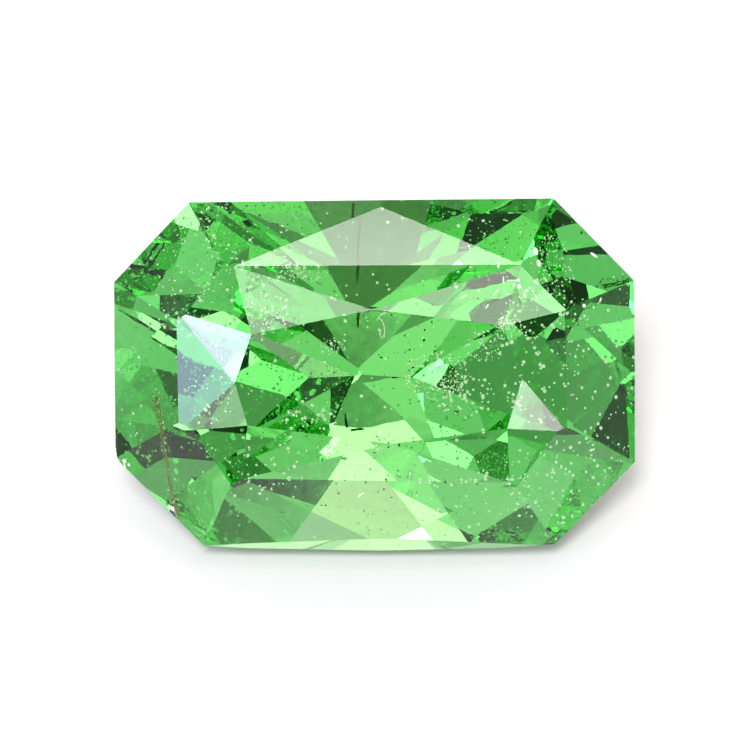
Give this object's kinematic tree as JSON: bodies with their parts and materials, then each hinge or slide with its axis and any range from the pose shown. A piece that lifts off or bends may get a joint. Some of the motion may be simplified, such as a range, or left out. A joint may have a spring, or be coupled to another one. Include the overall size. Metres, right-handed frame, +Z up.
{
  "type": "tsavorite garnet",
  "caption": "Loose green garnet, cut as a cut-cornered rectangle with a small table, lying on one of its pavilion facets.",
  "frame": {"origin": "centre of the bounding box, on the surface that the stone lies on", "axes": "+X along the stone's length, +Y away from the side that the table leans towards, +Z up"},
  "size_m": [0.0066, 0.0036, 0.0034],
  "materials": {
    "green_garnet": "clear green garnet, polished facets, refractive index 1.74",
    "white_inclusions": "white mineral pinpoints, bubbles and a thread inside the stone",
    "dark_inclusions": "dark mineral specks and a needle, and the brownish seam of a healed crack, inside the stone"
  },
  "bodies": {
    "root": {"garnet": "green_garnet"}
  },
  "joints": []
}
